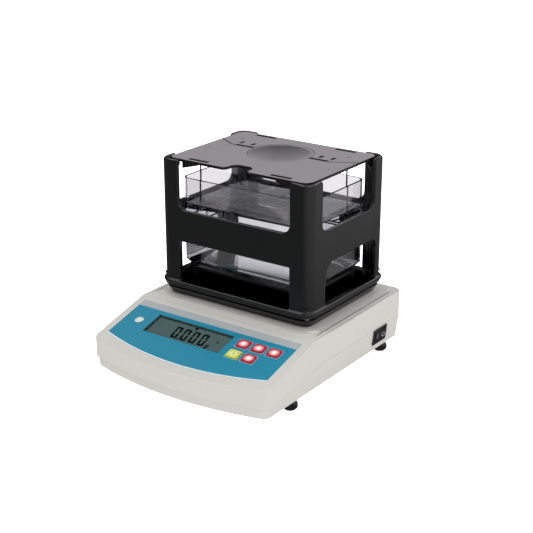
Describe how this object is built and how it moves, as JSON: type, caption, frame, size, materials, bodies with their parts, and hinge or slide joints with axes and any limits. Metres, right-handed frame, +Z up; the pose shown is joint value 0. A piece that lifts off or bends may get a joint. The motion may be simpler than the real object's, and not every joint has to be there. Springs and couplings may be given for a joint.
{
  "type": "benchtop density meter",
  "caption": "Laboratory balance with a sloping operating panel and a black post frame that carries a measuring table and basket over a clear water tank.",
  "frame": {"origin": "on the bench under the middle of the instrument's bounding box", "axes": "+Z up, the sloping operating panel faces -Y, +X to the operator's right; +Y is the longest extent"},
  "size_m": [0.203, 0.2453, 0.1956],
  "materials": {
    "housing": "satin",
    "overlay": "satin",
    "window": "gloss",
    "lcd": "satin",
    "white": "gloss",
    "level_glass": "gloss",
    "red_key": "gloss",
    "green_key": "gloss",
    "board": "satin",
    "black": "satin",
    "gloss_black": "gloss",
    "plate": "satin",
    "clear": "gloss",
    "steel": "satin",
    "brass": "satin",
    "alloy": "satin",
    "rubber": "matte"
  },
  "bodies": {
    "housing": {"upper_housing": "housing", "lower_housing": "housing", "panel_overlay": "overlay", "display_window": "window", "display_module": "lcd", "level_vial": "white", "level_glass": "level_glass", "keypad_board": "board", "key_switches": "black", "main_board": "board", "board_screws": "steel", "switch_bezel": "black", "switch_terminals": "brass", "power_jack": "black", "serial_port": "steel", "port_nuts": "steel", "foot_inserts": "brass", "case_screws": "steel", "load_cell_base": "alloy", "base_screws": "steel", "load_cell": "alloy", "load_cell_screws": "steel", "overload_stop": "steel", "drip_tray": "black", "drip_screws": "steel", "tank_table": "black", "tank_pads": "rubber"},
    "weighing_stand": {"weighing_arm": "alloy", "arm_screws": "steel", "tray_cushions": "rubber", "weighing_tray": "gloss_black", "measuring_frame": "black", "frame_screws": "steel", "table_shelves": "black"},
    "tank": {"water_tank": "clear"},
    "measuring_table": {"table_front_plate": "plate", "table_rear_plate": "plate", "basket_hangers": "black", "sample_basket": "steel"},
    "key_top_left_body": {"key_top_left": "red_key"},
    "key_top_middle_body": {"key_top_middle": "red_key"},
    "key_top_right_body": {"key_top_right": "red_key"},
    "key_bottom_left_body": {"key_bottom_left": "green_key"},
    "key_bottom_middle_body": {"key_bottom_middle": "red_key"},
    "rocker": {"switch_rocker": "gloss_black"},
    "foot_front_left_body": {"foot_front_left": "black"},
    "foot_front_right_body": {"foot_front_right": "black"},
    "foot_rear_left_body": {"foot_rear_left": "black"},
    "foot_rear_right_body": {"foot_rear_right": "black"}
  },
  "joints": [
    {"name": "key_top_left_press", "type": "slide", "parent": "housing", "child": "key_top_left_body", "axis": [0, -0.2562, 0.9666], "range_m": [-0.0004, 0], "stiffness_N_per_m": 2000},
    {"name": "key_top_middle_press", "type": "slide", "parent": "housing", "child": "key_top_middle_body", "axis": [0, -0.2562, 0.9666], "range_m": [-0.0004, 0], "stiffness_N_per_m": 2000},
    {"name": "key_top_right_press", "type": "slide", "parent": "housing", "child": "key_top_right_body", "axis": [0, -0.2562, 0.9666], "range_m": [-0.0004, 0], "stiffness_N_per_m": 2000},
    {"name": "key_bottom_left_press", "type": "slide", "parent": "housing", "child": "key_bottom_left_body", "axis": [0, -0.2562, 0.9666], "range_m": [-0.0004, 0], "stiffness_N_per_m": 2000},
    {"name": "key_bottom_middle_press", "type": "slide", "parent": "housing", "child": "key_bottom_middle_body", "axis": [0, -0.2562, 0.9666], "range_m": [-0.0004, 0], "stiffness_N_per_m": 2000},
    {"name": "power_rocker", "type": "hinge", "parent": "housing", "child": "rocker", "pos_m": [0.09846, 0.0795, 0.02456], "axis": [0.1219, 0, 0.9925], "range_deg": [0, 14]},
    {"name": "foot_front_left_level", "type": "slide", "parent": "housing", "child": "foot_front_left_body", "axis": [0, 0, 1], "range_m": [-0.003, 0.003]},
    {"name": "foot_front_right_level", "type": "slide", "parent": "housing", "child": "foot_front_right_body", "axis": [0, 0, 1], "range_m": [-0.003, 0.003]},
    {"name": "foot_rear_left_level", "type": "slide", "parent": "housing", "child": "foot_rear_left_body", "axis": [0, 0, 1], "range_m": [-0.003, 0.003]},
    {"name": "foot_rear_right_level", "type": "slide", "parent": "housing", "child": "foot_rear_right_body", "axis": [0, 0, 1], "range_m": [-0.003, 0.003]},
    {"name": "weighing", "type": "slide", "parent": "housing", "child": "weighing_stand", "axis": [0, 0, 1], "range_m": [-0.0004, 0], "stiffness_N_per_m": 25000, "springref_m": 0.00012},
    {"name": "tank_lift", "type": "slide", "parent": "housing", "child": "tank", "axis": [0, 0, 1], "range_m": [0, 0.12]},
    {"name": "table_lift", "type": "slide", "parent": "tank", "child": "measuring_table", "axis": [0, 0, 1], "range_m": [0, 0.11]}
  ]
}
